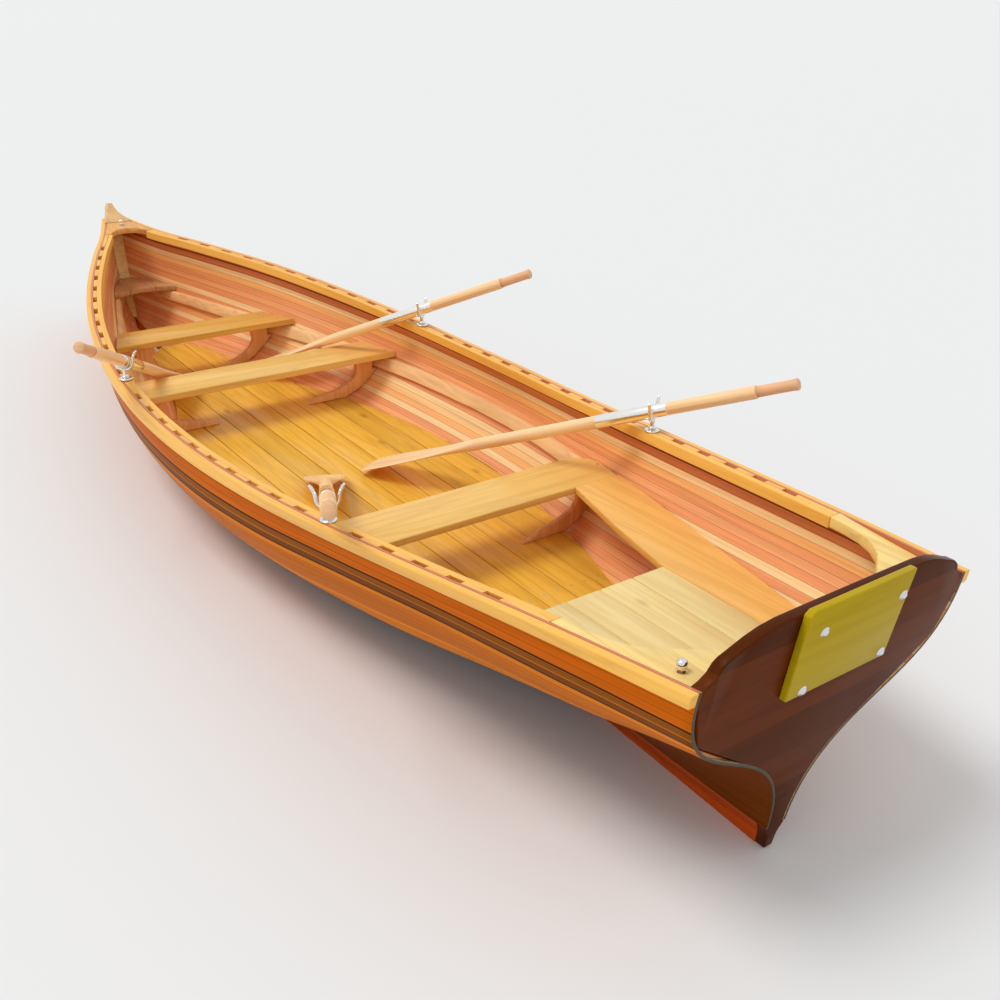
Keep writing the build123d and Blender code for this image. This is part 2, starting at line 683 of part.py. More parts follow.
# Rail knobs, one on the breasthook and one on each quarter knee, (radius, height)
KNOB_PROFILE = [(13, 0), (13, 3), (6, 8), (6, 12), (10, 15), (11, 20), (8, 26), (3, 29)]
KNOB_SIDES = 10
BOW_KNOB_X = 2064.0
STERN_KNOB = (-2206.0, 378.0)
KNOBS = [
    # x, y, z, size
    (BOW_KNOB_X, 0.0, points(BOW_KNOB_X + 12)[1][0][2], 0.8),
    (STERN_KNOB[0], STERN_KNOB[1], KNEE_Z + KNEE_T, 1.0),
    (STERN_KNOB[0], -STERN_KNOB[1], KNEE_Z + KNEE_T, 1.0),
]
knobs = []
for x, y, z, size in KNOBS:
    rows = []
    for r, h in KNOB_PROFILE:
        turns = [2 * math.pi * (j + 0.5) / KNOB_SIDES for j in range(KNOB_SIDES)]
        ring = [(size * r * math.cos(q), size * r * math.sin(q)) for q in turns]
        rows.append([(x + dx, y + dy, z + 0.1 + size * h) for dx, dy in ring])
    knobs.append(ruled(rows))
save("rail_knobs", knobs)

# Oarlock sockets
PLATE_R = 24.0
PLATE_T = 5.0
sockets = []
for _, x, y, z, side in LOCKS:
    turns = [math.radians(30 * j + 15) for j in range(12)]
    corners = [(x + PLATE_R * math.cos(q), y + PLATE_R * math.sin(q)) for q in turns]
    tube = Pos(x, y, z - 25) * Cylinder(SOCKET_R, 56)
    sockets.append(plate(corners, z, z + PLATE_T) + tube - Pos(x, y, z - 25) * Cylinder(BORE_R, 80))
save("oarlock_sockets", sockets)

# Oars lie with their blades inboard
OAR_R = 21.0
SLEEVE_R = 22.0
HORN_R = 25.8
AFT_TIP = (-140.0, 92.0, 18.0)
FORE_TIP = (1029.0, 153.0, 56.0)


def oar_axis(x, y, z, side, tip):
    p = Vector(x, y, z + PLATE_T + LOCK_RISE)
    q = Vector(tip[0], tip[1] * side, tip[2])
    return p, (q - p).normalized(), (q - p).length


def turned(profile, sides):
    # turned piece with flat facets, (height, radius) up its axis
    turns = [2 * math.pi * (j + 0.5) / sides for j in range(sides)]
    return skin([[(r * math.cos(q), r * math.sin(q), h) for q in turns] for h, r in profile])


def oarlock(x, y, z, d):
    # pin, collar and an open horned ring across the oar
    turn = math.degrees(math.atan2(d.Y, d.X))
    pin = Pos(0, 0, -25) * Cylinder(PIN_R, 54)
    ring = HORN_R + 5.0
    collar = turned([(0, 12), (8, 12), (8, 8), (LOCK_RISE - ring + 1, 8)], 8)
    lower_half = [math.radians(a) for a in range(-180, 1, 30)]
    arc = [(ring * math.cos(q), LOCK_RISE + ring * math.sin(q)) for q in lower_half]
    horn = [(35, LOCK_RISE + 20), (46, LOCK_RISE + 38)]
    horns = [(-v, w) for v, w in reversed(horn)] + arc + horn
    rows = []
    for k, (v, w) in enumerate(horns):
        a, b = horns[max(k - 1, 0)], horns[min(k + 1, len(horns) - 1)]
        run = math.dist(a, b)
        nv, nw = (a[1] - b[1]) / run, (b[0] - a[0]) / run
        thick, wide = (3.5, 4.5) if k in (0, len(horns) - 1) else (5.0, 6.0)
        turns = [math.radians(60 * j) for j in range(6)]
        sides = [(wide * math.cos(q), thick * math.sin(q)) for q in turns]
        rows.append([(across, v + nv * out, w + nw * out) for across, out in sides])
    body = collar + pin + skin(rows)
    return Pos(x, y, z + PLATE_T) * Rot(0, 0, turn) * body


# Blade outline, from the loom to the tip: (distance from the tip, half width, half thickness)
BLADE = [(480, 20, 20), (380, 34, 15), (270, 58, 9), (150, 72, 7), (60, 75, 6), (18, 71, 5), (0, 56, 4)]
GRIP_LEN = 130.0
GRIP_R = 17.5
END_R = 19.0
SLEEVE_AFT = -50.0
SLEEVE_LEN = 250.0
OAR_SIDES = 12


def oar(p, d, inboard, length):
    pl = Plane(origin=p, x_dir=Vector(-d.Y, d.X, 0).normalized(), z_dir=d)
    start = inboard - length
    grip_end = start + GRIP_LEN
    s0, s1 = SLEEVE_AFT, SLEEVE_AFT + SLEEVE_LEN
    profile = [(start, GRIP_R - 2), (start + 3, END_R), (start + 12, END_R), (start + 16, GRIP_R)]
    profile += [(grip_end, GRIP_R), (grip_end, OAR_R)]
    profile += [(s0, OAR_R), (s0, SLEEVE_R), (s1, SLEEVE_R), (s1, OAR_R)]
    sizes = [(s, r, r) for s, r in profile]
    sizes += [(inboard - back, wide, thick) for back, wide, thick in BLADE]
    turns = [2 * math.pi * (j + 0.5) / OAR_SIDES for j in range(OAR_SIDES)]
    rows = [[(wide * math.cos(q), thick * math.sin(q), s) for q in turns] for s, wide, thick in sizes]
    return pl.location * skin(rows)


for name, x, y, z, side in LOCKS:
    aft_one = name.startswith("aft")
    p, d, inboard = oar_axis(x, y, z, side, AFT_TIP if aft_one else FORE_TIP)
    save("oarlock_" + name, oarlock(x, y, z, d))
    save("oar_" + name, oar(p, d, inboard, AFT_OAR_LEN if aft_one else FORE_OAR_LEN))
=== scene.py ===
import math

import bmesh
import bpy
from mathutils import Matrix, Vector


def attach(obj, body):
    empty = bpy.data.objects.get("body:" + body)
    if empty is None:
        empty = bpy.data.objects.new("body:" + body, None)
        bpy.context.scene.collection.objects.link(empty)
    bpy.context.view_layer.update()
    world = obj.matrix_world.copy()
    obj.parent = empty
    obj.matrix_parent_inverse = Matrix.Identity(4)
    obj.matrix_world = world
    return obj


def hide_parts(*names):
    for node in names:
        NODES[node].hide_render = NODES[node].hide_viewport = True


bl_info = {
    "name": "Strip planked rowing boat",
    "version": (1, 0, 0),
    "blender": (4, 5, 0),
    "location": "View3D > Sidebar > Rowing Boat",
    "description": "Dresses a strip planked rowing boat with varnished wood, open gunwales, "
                   "oars and bright fittings",
    "category": "Add Mesh",
}

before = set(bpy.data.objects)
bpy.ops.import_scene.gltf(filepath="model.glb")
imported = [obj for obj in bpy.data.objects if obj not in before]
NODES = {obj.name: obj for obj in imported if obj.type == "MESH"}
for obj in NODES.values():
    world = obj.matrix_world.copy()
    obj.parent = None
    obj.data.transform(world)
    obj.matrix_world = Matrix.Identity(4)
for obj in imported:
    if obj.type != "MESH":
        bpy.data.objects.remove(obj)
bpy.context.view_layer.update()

# Hull section table in metres: a cubic arc from the rabbet to the sheer at each place along the boat
SECTION_ROWS = [
    # x, y0, z0, y1, z1, y2, z2, y3, z3
    (-2.302, 0.034, -0.150, 0.036, 0.230, 0.457, 0.106, 0.426, 0.447),
    (-1.900, 0.030, -0.153, 0.136, 0.080, 0.478, 0.087, 0.484, 0.423),
    (-1.500, 0.026, -0.153, 0.230, -0.050, 0.504, 0.082, 0.543, 0.392),
    (-1.100, 0.024, -0.150, 0.321, -0.147, 0.564, 0.062, 0.596, 0.362),
    (-0.700, 0.024, -0.146, 0.385, -0.155, 0.652, 0.033, 0.635, 0.340),
    (-0.300, 0.024, -0.140, 0.412, -0.136, 0.706, 0.020, 0.656, 0.333),
    (0.100, 0.024, -0.131, 0.400, -0.085, 0.698, 0.023, 0.650, 0.339),
    (0.500, 0.024, -0.119, 0.365, -0.027, 0.634, 0.036, 0.610, 0.361),
    (0.900, 0.022, -0.101, 0.305, 0.040, 0.502, 0.085, 0.530, 0.394),
    (1.280, 0.020, -0.075, 0.252, 0.075, 0.353, 0.141, 0.411, 0.434),
    (1.680, 0.018, -0.030, 0.200, 0.060, 0.205, 0.190, 0.250, 0.472),
    (1.950, 0.016, 0.020, 0.115, 0.055, 0.115, 0.225, 0.125, 0.499),
    (2.225, 0.014, 0.050, 0.014, 0.200, 0.014, 0.350, 0.014, 0.545),
]
STEM_LINE = [(0.050, 2.010), (0.080, 2.046), (0.140, 2.095), (0.200, 2.130), (0.350, 2.185), (0.545, 2.232)]
STERN, TRANSOM_FORE, LEAN_AFT, LEAN_FORE, BOW = -2.302, -2.272, -1.900, 1.950, 2.225
TRANSOM_TOP, TRANSOM_RAKE = 0.447, 0.1647
PLANK = 0.008
GUNWALE_DEEP = 0.035
OUTWALE_WIDE, SPACER_WIDE, INWALE_WIDE = 0.020, 0.015, 0.020
OUTWALE_RUN = (STERN, 2.165)
INWALE_RUN = (-1.905, 1.954)
WALE_BEVEL, WALE_FOOT = 0.003, 0.004
# The rails take a share of the edge rounding that the user sets
RAIL_ROUNDING = 0.7
BLOCK_ROUNDING, FLOOR_ROUNDING = 0.0008, 0.0015
GIRTH_STEPS = 160
NEAR_SHEER, NEAR_MIDDLE = 0.002, 0.004
BANDS_A_SIDE = ("sheer_strake", "riser_strake", "bilge_strake", "bottom_strake", "garboard")

# Oars: the aft pair and the fore pair, port side; the starboard ones mirror them
AFT_OAR = dict(pivot=(-1.100, 0.574, 0.428933), tip=(-0.140, 0.092, 0.018), length=1.620)
FORE_OAR = dict(pivot=(0.315, 0.614, 0.415987), tip=(1.029, 0.153, 0.056), length=1.426)
BLADE_LONG, BLADE_STEPS, BLADE_EASE = 0.480, 40, 1.1
BLADE_ROWS = [
    # distance from the tip, half width, half thickness
    (BLADE_LONG, 0.0205, 0.0205), (0.380, 0.034, 0.015), (0.270, 0.058, 0.009), (0.150, 0.072, 0.007),
    (0.060, 0.075, 0.006), (0.018, 0.071, 0.005), (0.000, 0.056, 0.0038),
]
BLADE_TIP = (0.0004, 0.055, 0.0034)
LOOM_RADIUS, LOOM_FROM, LOOM_STEP, LOOM_SPARE = 0.0208, 0.14, 0.1, 0.64
OAR_SIDES = 32
# Turned pieces are rows of radius and height
SHOULDER_ROWS = [(0.0175, 0.129), (0.0198, 0.130), (LOOM_RADIUS, 0.133)]
GRIP_ROWS = [
    (0.0150, 0.0), (0.0180, 0.0025), (0.0186, 0.006), (0.0182, 0.011),
    (0.0172, 0.016), (0.0170, 0.06), (0.0173, 0.1), (0.0173, 0.1295),
]
SLEEVE_BACK = 0.05
SLEEVE_END_ROWS = [(0.0205, 0.0), (0.0216, 0.0004), (0.0219, 0.0015)]

# Oarlocks: pin and collar under the horns, which bend round the sleeve at LOCK_RISE above the socket
LOCK_RISE = 0.060
SOCKET_ROWS = [
    (0.0095, -0.05), (0.0095, -0.0048), (0.0238, -0.0048), (0.0238, -0.0015),
    (0.022, 0.0), (0.0075, 0.0), (0.0062, -0.001),
]
COLLAR_ROWS = [
    (0.006, -0.052), (0.0062, 0.0), (0.0118, 0.0002), (0.0118, 0.007),
    (0.0085, 0.009), (0.0075, 0.014), (0.0078, 0.028), (0.0085, LOCK_RISE - 0.029),
]
HORN_TIP = [(-0.046, 0.038), (-0.041, 0.031), (-0.036, 0.021), (-0.0325, 0.011)]
HORN_RING, HORN_STEP, HORN_SIDES = 0.0308, 12, 16
HORN_ALONG, HORN_ACROSS, HORN_TAPER = 0.0059, 0.0049, 0.72

# Rail knobs: place and size
KNOB_BOW = (2.064, 0.0, 0.5190, 0.8)
KNOB_STERN = (-2.206, 0.378, 0.4261, 1.0)
KNOB_SIDES = 24
KNOB_ROWS = [
    (0.0128, 0.0), (0.0128, 0.002), (0.0095, 0.006), (0.0092, 0.0095), (0.0116, 0.013),
    (0.0126, 0.018), (0.0108, 0.0240), (0.0060, 0.0275), (0.0012, 0.0288),
]

# Screws and plugs along the boat and to each side, and bolts on the motor pad
FLOOR_SCREW_ROWS = [-1.2, -0.8, -0.4, 0.0, 0.4, 0.8, 1.18]
FLOOR_PITCH, FLOOR_BOARDS = 0.106, 11
SCREW_SPREAD, SCREW_RADIUS, SCREW_PROUD = 0.026, 0.0035, 0.0005
PLUG_RADIUS, PLUG_PROUD = 0.0065, 0.0004
HEAD_SUNK, HEAD_SIDES = 0.002, 14
THWART_PLUGS = {
    "fore_thwart": [(1.10, 0.34), (1.21, 0.30)],
    "mid_thwart": [(0.51, 0.55), (0.63, 0.54)],
    "aft_thwart": [(-0.95, 0.55), (-0.88, 0.55)],
    "side_benches": [(-1.25, 0.50), (-1.50, 0.47), (-1.75, 0.44), (-2.00, 0.40)],
}
PAD_BOLTS = [(0.104, 0.483), (-0.148, 0.488), (-0.142, 0.334), (0.114, 0.331)]
PAD_THICK = 0.020
BOLT_SIDES = 20
BOLT_ROWS = [
    (0.013, -0.001), (0.013, 0.0012), (0.009, 0.0014),
    (0.0085, 0.004), (0.005, 0.0062), (0.001, 0.0068),
]

# The camera's place and angles, solved from the boat's own straight lines
CAMERA_PLACE = (-2.388, 1.804, 1.378)
CAMERA_YAW, CAMERA_PITCH, CAMERA_ROLL = -0.643, 0.459, 0.036
CAMERA_FOCAL = 1.140508
LEVEL_TURN = math.radians(1.5)
LEVEL_SHIFT = (1.1, 0.40)
SENSOR_WIDE = 36.0
SEEN_FROM_TO = (0.05, 1000.0)

# The floor touches the skeg's heel and meets the waterline under the bow
HEEL = (-2.19, -0.227)
BOW_WATER = (1.90, 0.0)
FLOOR_HALF, FLOOR_BELOW = 300.0, 0.001
SUN_FROM = (0.25, 0.45, 1.0)
SUN_SPREAD = math.radians(24)
ROOM_COLOUR = (0.96, 0.98, 1.0, 1)
BACKDROP = (0.835, 0.845, 0.84, 1.0)

# Varnish over the woods
VARNISH = dict(Coat_Roughness=0.08, IOR=1.45, Coat_IOR=1.45)
VARNISH_ROUGHNESS = 0.34
SEAM_SHARE = 0.06


def srgb(r, g, b):
    """Linear colour from screen values of 0 to 255."""
    def lin(v):
        v /= 255.0
        return v / 12.92 if v <= 0.04045 else ((v + 0.055) / 1.055) ** 2.4
    return (lin(r), lin(g), lin(b), 1.0)


class RowboatHull(bpy.types.PropertyGroup):
    """Sizes of the strips, rounding and sleeves"""
    strip: bpy.props.FloatProperty(
        name="Strip width", description="Width of one planking strip", default=0.027, unit="LENGTH")
    station: bpy.props.FloatProperty(
        name="Station spacing", description="Spacing of the hull's sections", default=0.04, unit="LENGTH")
    edge: bpy.props.FloatProperty(
        name="Edge rounding", description="Rounding of the seats and rails", default=0.005, unit="LENGTH")
    sleeve: bpy.props.FloatProperty(
        name="Sleeve length", description="Length of the bright sleeve on each oar",
        default=0.25, unit="LENGTH")


class RowboatColours(bpy.types.PropertyGroup):
    """Colours of the woods"""
    pine: bpy.props.FloatVectorProperty(
        name="Pine", description="Floorboards", subtype="COLOR", size=4, default=srgb(242, 184, 66))
    ash: bpy.props.FloatVectorProperty(
        name="Ash", description="Rails", subtype="COLOR", size=4, default=srgb(250, 188, 88))
    seat: bpy.props.FloatVectorProperty(
        name="Seat", description="Thwarts and benches", subtype="COLOR", size=4, default=srgb(240, 192, 104))
    mahogany: bpy.props.FloatVectorProperty(
        name="Mahogany", description="Transom", subtype="COLOR", size=4, default=srgb(92, 40, 4))
    spruce: bpy.props.FloatVectorProperty(
        name="Oar wood", description="Oars", subtype="COLOR", size=4, default=srgb(255, 212, 160))


class RowboatStage(bpy.types.PropertyGroup):
    """Floor and lights"""
    floor_tone: bpy.props.FloatVectorProperty(
        name="Floor", description="Floor colour", subtype="COLOR", size=4, default=(0.80, 0.80, 0.79, 1.0))
    sun: bpy.props.FloatProperty(
        name="Main light", description="Strength of the soft main light", default=1.35)
    room: bpy.props.FloatProperty(
        name="Room light", description="Strength of the light from all round", default=0.72)


def cubic(rows, x, col):
    """Smooth value through a short table."""
    n = len(rows)
    i = 0
    while i < n - 2 and x > rows[i + 1][0]:
        i += 1

    def slope(k):
        a, b = max(k - 1, 0), min(k + 1, n - 1)
        return (rows[b][col] - rows[a][col]) / (rows[b][0] - rows[a][0])
    x0, x1 = rows[i][0], rows[i + 1][0]
    h = x1 - x0
    t = (x - x0) / h
    ma, mb = slope(i) * h, slope(i + 1) * h
    return ((2 * t**3 - 3 * t**2 + 1) * rows[i][col] + (t**3 - 2 * t**2 + t) * ma
            + (3 * t**2 - 2 * t**3) * rows[i + 1][col] + (t**3 - t**2) * mb)


def straight(rows, x):
    """Value on straight lines through a short table."""
    if x <= rows[0][0]:
        return rows[0][1]
    for a, b in zip(rows, rows[1:]):
        if x <= b[0]:
            return a[1] + (b[1] - a[1]) * (x - a[0]) / (b[0] - a[0])
    return rows[-1][1]


def lean(u, z):
    """Place along the boat of a point at height z on station u."""
    if u < LEAN_AFT:
        share = min(1.0, (LEAN_AFT - u) / (LEAN_AFT - TRANSOM_FORE))
        return u + share * (TRANSOM_TOP - z) * TRANSOM_RAKE
    if u > LEAN_FORE:
        return u + (u - LEAN_FORE) / (BOW - LEAN_FORE) * (straight(STEM_LINE, z) - BOW)
    return u


class Station:
    """One section of the hull, measured down the girth from the sheer."""

    def __init__(self, u):
        c = [cubic(SECTION_ROWS, u, k) for k in range(1, 9)]
        self.u = u
        self.points = []
        for k in range(GIRTH_STEPS + 1):
            t = 1 - k / GIRTH_STEPS
            w = ((1 - t)**3, 3 * t * (1 - t)**2, 3 * t * t * (1 - t), t**3)
            y = sum(w[j] * c[2 * j] for j in range(4))
            z = sum(w[j] * c[2 * j + 1] for j in range(4))
            self.points.append((y, z))
        self.girth = [0.0]
        for a, b in zip(self.points, self.points[1:]):
            self.girth.append(self.girth[-1] + math.hypot(b[0] - a[0], b[1] - a[1]))

    def at(self, g, inward=0.0):
        """Point at girth g, moved off the outer face towards the inside."""
        g = min(max(g, 0.0), self.girth[-1])
        k = 0
        while k < len(self.girth) - 2 and self.girth[k + 1] < g:
            k += 1
        f = (g - self.girth[k]) / (self.girth[k + 1] - self.girth[k])
        a, b = self.points[k], self.points[k + 1]
        y, z = a[0] + f * (b[0] - a[0]), a[1] + f * (b[1] - a[1])
        if inward:
            p, q = self.points[max(k - 2, 0)], self.points[min(k + 3, len(self.points) - 1)]
            dy, dz = p[0] - q[0], p[1] - q[1]
            d = math.hypot(dy, dz)
            y = max(y - dz / d * inward, NEAR_MIDDLE)
            z += dy / d * inward if g > NEAR_SHEER else 0.0
        return Vector((lean(self.u, z), y, z))

    def girth_down(self, deep):
        """Girth from the sheer to a point that lies deep below it."""
        level = self.points[0][1] - deep
        k = 0
        while self.points[k + 1][1] > level:
            k += 1
        a, b = self.points[k], self.points[k + 1]
        share = (a[1] - level) / (a[1] - b[1])
        return self.girth[k] + share * (self.girth[k + 1] - self.girth[k])


def stations(lo, hi, step):
    """Hull sections evenly spaced from lo to hi."""
    n = max(2, round((hi - lo) / step))
    return [Station(lo + (hi - lo) * k / n) for k in range(n + 1)]


def new_object(name, mesh, body, *stands_for):
    """Piece that rides on a body and may stand for CAD nodes."""
    obj = bpy.data.objects.new(name, mesh)
    bpy.context.scene.collection.objects.link(obj)
    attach(obj, body)
    if stands_for:
        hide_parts(*stands_for)
    return obj


def dress(obj, material):
    """Gives a piece its one material and smooth shading."""
    obj.data.materials.clear()
    obj.data.materials.append(material)
    for p in obj.data.polygons:
        p.use_smooth = True


def round_edges(obj, width, segments=3, angle=35.0):
    """Rounds the sharp edges of a board, once its split vertices are welded."""
    weld = obj.modifiers.new("weld", "WELD")
    weld.merge_threshold = 0.00005
    bev = obj.modifiers.new("rounding", "BEVEL")
    bev.width = width
    bev.segments = segments
    bev.limit_method = "ANGLE"
    bev.angle_limit = math.radians(angle)
    bev.harden_normals = True
    bev.use_clamp_overlap = True


class Shader:
    """Short hand for building a node material."""

    def __init__(self, name):
        self.mat = bpy.data.materials.new(name)
        self.mat.use_nodes = True
        self.tree = self.mat.node_tree
        self.tree.nodes.clear()
        self.out = self.node("ShaderNodeOutputMaterial")
        self.bsdf = self.node("ShaderNodeBsdfPrincipled")
        self.link(self.bsdf, "BSDF", self.out, "Surface")

    def node(self, kind, **values):
        n = self.tree.nodes.new(kind)
        for k, v in values.items():
            setattr(n, k, v)
        return n

    def link(self, a, out, b, inp):
        self.tree.links.new(a.outputs[out], b.inputs[inp])

    def set(self, **values):
        for k, v in values.items():
            self.bsdf.inputs[k.replace("_", " ")].default_value = v

    def math(self, op, a, b=None):
        n = self.node("ShaderNodeMath", operation=op)
        for i, v in enumerate((a, b)):
            if v is None:
                continue
            if isinstance(v, (int, float)):
                n.inputs[i].default_value = v
            else:
                self.tree.links.new(v, n.inputs[i])
        return n.outputs[0]

    def noise(self, vector, **values):
        n = self.node("ShaderNodeTexNoise")
        for k, v in values.items():
            n.inputs[k].default_value = v
        self.tree.links.new(vector, n.inputs["Vector"])
        return n.outputs["Fac"]

    def ramp(self, fac, stops, kind="LINEAR"):
        n = self.node("ShaderNodeValToRGB")
        n.color_ramp.interpolation = kind
        els = n.color_ramp.elements
        while len(els) < len(stops):
            els.new(0.5)
        for e, (pos, col) in zip(els, stops):
            e.position = pos
            e.color = col
        self.tree.links.new(fac, n.inputs[0])
        return n.outputs[0]

    def mix(self, fac, a, b, blend="MIX"):
        n = self.node("ShaderNodeMix", data_type="RGBA", blend_type=blend)
        if isinstance(fac, (int, float)):
            n.inputs["Factor"].default_value = fac
        else:
            self.tree.links.new(fac, n.inputs["Factor"])
        for sock, v in (("A", a), ("B", b)):
            i = next(s for s in n.inputs if s.name == sock and s.type == "RGBA")
            if isinstance(v, tuple):
                i.default_value = v
            else:
                self.tree.links.new(v, i)
        return next(s for s in n.outputs if s.type == "RGBA")


def tone(colour, k, warm=0.0):
    """Lighter or darker colour, and redder where warm."""
    red, green, blue = colour[:3]
    return (min(red * k * (1 + warm), 1), min(green * k, 1), min(blue * k * (1 - warm), 1), 1.0)


def wood(name, colour, along, contrast, rings, gloss=0.12, roughness=VARNISH_ROUGHNESS, knots=0.0,
         boards=0.0, planks=0.0, sheen=0.3):
    """Varnished wood with its grain along one axis, or along the grain map of a swept piece.

    boards darkens loose boards by chance, and planks is the height of each plank of a glued panel."""
    s = Shader(name)
    s.set(Roughness=roughness, Coat_Weight=gloss, Specular_IOR_Level=sheen, **VARNISH)
    island = s.node("ShaderNodeNewGeometry").outputs["Random Per Island"]
    mp = s.node("ShaderNodeMapping")
    if along == "UV":
        co = s.node("ShaderNodeUVMap", uv_map="grain")
        s.link(co, "UV", mp, "Vector")
        squeeze = (0.9, 16.0, 16.0)
    else:
        co = s.node("ShaderNodeTexCoord")
        s.link(co, "Object", mp, "Vector")
        squeeze = {"X": (0.9, 14.0, 14.0), "Y": (14.0, 0.9, 14.0), "Z": (14.0, 14.0, 0.9)}[along]
    mp.inputs["Scale"].default_value = squeeze
    place = s.node("ShaderNodeCombineXYZ")
    for axis, far in (("X", 31.0), ("Y", 17.0), ("Z", 23.0)):
        s.tree.links.new(s.math("MULTIPLY", island, far), place.inputs[axis])
    s.link(place, "Vector", mp, "Location")
    wide = s.noise(mp.outputs["Vector"], Scale=1.1, Detail=3.0, Distortion=0.5)
    lines = s.math("PINGPONG", s.math("MULTIPLY", wide, rings), 1.0)
    fine = s.noise(mp.outputs["Vector"], Scale=9.0, Detail=6.0, Roughness=0.65)
    grain = s.math("ADD", s.math("MULTIPLY", lines, 0.5), s.math("MULTIPLY", fine, 0.5))
    light, dark = tone(colour, 1 + contrast * 0.5), tone(colour, 1 - contrast, 0.06)
    col = s.ramp(grain, [(0.15, light), (0.5, tone(colour, 1.0)), (0.85, dark)])
    if boards:
        each = s.ramp(island, [(0.0, tone((1, 1, 1), 1 - boards)), (1.0, tone((1, 1, 1), 1.0))])
        col = s.mix(1.0, col, each, "MULTIPLY")
    if planks:
        height = s.node("ShaderNodeSeparateXYZ")
        s.link(co, "Object", height, "Vector")
        pick = s.node("ShaderNodeTexWhiteNoise", noise_dimensions="1D")
        s.tree.links.new(s.math("FLOOR", s.math("DIVIDE", height.outputs["Z"], planks)), pick.inputs["W"])
        each = s.ramp(pick.outputs["Value"], [(0.0, (0.72, 0.70, 0.66, 1)), (1.0, (1.2, 1.2, 1.2, 1))])
        col = s.mix(1.0, col, each, "MULTIPLY")
    if knots:
        kn = s.node("ShaderNodeTexVoronoi", feature="F1")
        km = s.node("ShaderNodeMapping")
        km.inputs["Scale"].default_value = tuple(2.6 if v < 2 else 6.0 for v in squeeze)
        s.link(place, "Vector", km, "Location")
        s.link(co, "Object", km, "Vector")
        s.link(km, "Vector", kn, "Vector")
        kn.inputs["Scale"].default_value = 1.0
        rim = [(0.0, (1, 1, 1, 1)), (0.05, (0.8, 0.8, 0.8, 1)), (0.10, (0, 0, 0, 1))]
        spot = s.ramp(kn.outputs["Distance"], rim)
        col = s.mix(s.math("MULTIPLY", spot, knots), col, tone(colour, 0.36, 0.2))
    s.tree.links.new(col, s.bsdf.inputs["Base Color"])
    bump = s.node("ShaderNodeBump")
    bump.inputs["Strength"].default_value = 0.05
    bump.inputs["Distance"].default_value = 0.001
    s.tree.links.new(grain, bump.inputs["Height"])
    s.link(bump, "Normal", s.bsdf, "Normal")
    return s.mat


def planking(name, palette, bands, strip, gloss=0.1, sheen=0.3):
    """Glued strips, each with a tone of the palette, and bands that set runs of the girth to one colour."""
    s = Shader(name)
    s.set(Roughness=VARNISH_ROUGHNESS, Coat_Weight=gloss, Specular_IOR_Level=sheen, **VARNISH)
    uv = s.node("ShaderNodeUVMap", uv_map="strips")
    sep = s.node("ShaderNodeSeparateXYZ")
    s.link(uv, "UV", sep, "Vector")
    g = s.math("DIVIDE", sep.outputs["Y"], strip)
    row = s.math("FLOOR", g)
    pick = s.node("ShaderNodeTexWhiteNoise", noise_dimensions="1D")
    s.tree.links.new(row, pick.inputs["W"])
    n = len(palette)
    col = s.ramp(pick.outputs["Value"], [(k / n, c) for k, c in enumerate(palette)], "CONSTANT")
    girth = sep.outputs["Y"]
    for lo, hi, c in bands:
        inside = s.math("MULTIPLY", s.math("GREATER_THAN", girth, lo), s.math("LESS_THAN", girth, hi))
        col = s.mix(inside, col, c)
    # The grain runs with the strips
    cmb = s.node("ShaderNodeCombineXYZ")
    s.tree.links.new(s.math("MULTIPLY", sep.outputs["X"], 1.2), cmb.inputs["X"])
    s.tree.links.new(s.math("MULTIPLY", sep.outputs["Y"], 60.0), cmb.inputs["Y"])
    s.tree.links.new(s.math("MULTIPLY", row, 7.3), cmb.inputs["Z"])
    fine = s.noise(cmb.outputs["Vector"], Scale=2.2, Detail=5.0)
    shade = s.ramp(fine, [(0.25, (0.72, 0.68, 0.62, 1)), (0.75, (1.15, 1.12, 1.1, 1))])
    col = s.mix(0.75, col, shade, "MULTIPLY")
    edge = s.math("PINGPONG", g, 0.5)
    line = s.math("LESS_THAN", edge, SEAM_SHARE * 0.5)
    col = s.mix(s.math("MULTIPLY", line, 0.55), col, (0.05, 0.02, 0.008, 1))
    s.tree.links.new(col, s.bsdf.inputs["Base Color"])
    return s.mat


def metal(name, colour=(0.80, 0.80, 0.82, 1), roughness=0.12):
    """Plain metal."""
    s = Shader(name)
    s.set(Base_Color=colour, Metallic=1.0, Roughness=roughness)
    return s.mat


def plain(name, colour, roughness):
    """One even colour."""
    s = Shader(name)
    s.set(Base_Color=colour, Roughness=roughness)
    return s.mat


OUTSIDE_BANDS = [
    # from, to down the girth, colour
    (0.000, 0.108, srgb(214, 106, 10)),
    (0.108, 0.114, srgb(60, 26, 6)),
    (0.114, 0.135, srgb(150, 84, 14)),
    (0.135, 0.140, srgb(210, 120, 24)),
    (0.140, 0.162, srgb(130, 70, 12)),
    (0.162, 0.168, srgb(60, 26, 6)),
    (0.470, 2.000, srgb(112, 54, 10)),
]
INSIDE_BANDS = [
    # The first band, right under the inwale, is painted shade: the rails' shadow on the top strake, darkened
    # into the colour
    (0.000, 0.054, srgb(200, 112, 56)),
    (0.054, 0.058, srgb(128, 58, 26)),
    (0.058, 0.085, srgb(222, 136, 82)),
]
OUTSIDE_TONES = [srgb(226, 128, 14), srgb(240, 142, 24), srgb(208, 112, 12), srgb(230, 132, 18)]
INSIDE_TONES = [
    srgb(252, 184, 112), srgb(255, 204, 136), srgb(244, 162, 104), srgb(255, 214, 154), srgb(250, 174, 116),
]
OUTSIDE, INSIDE, EDGE, ENDS = range(4)


